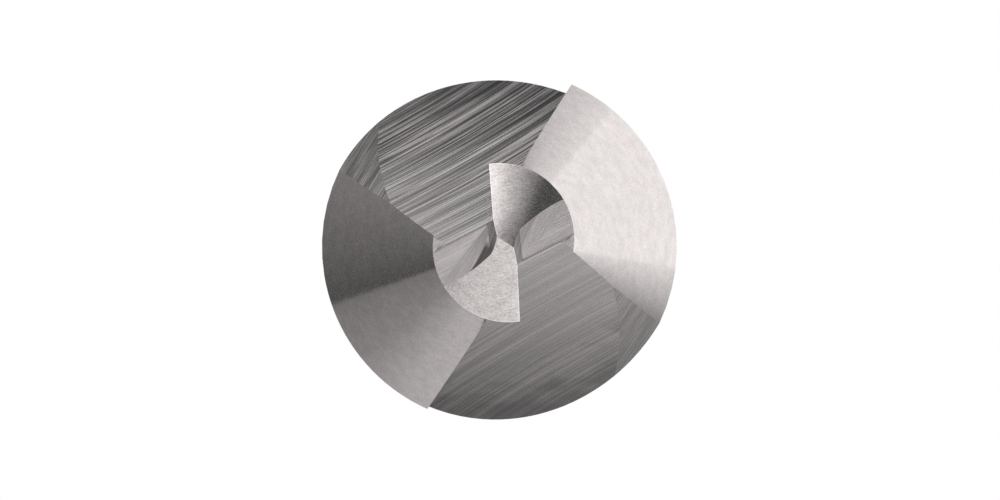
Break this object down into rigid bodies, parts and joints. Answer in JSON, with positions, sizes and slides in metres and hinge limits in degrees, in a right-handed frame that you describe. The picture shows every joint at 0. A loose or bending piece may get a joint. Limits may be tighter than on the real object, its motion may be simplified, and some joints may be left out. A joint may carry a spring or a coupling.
{
  "type": "center drill",
  "caption": "Double-ended center drill with a round body, and at each end a short pilot drill and a 60 degree countersink cut by straight ground flutes.",
  "frame": {"origin": "on the drill's axis, halfway between its two tips", "axes": "+Z along the axis towards the tip that the picture shows, +X to the right and +Y up when that tip is looked at end on"},
  "size_m": [0.0112, 0.0112, 0.0698],
  "materials": {
    "ground_steel": "ground high speed steel, uncoated"
  },
  "bodies": {
    "root": {"center_drill": "ground_steel"}
  },
  "joints": []
}
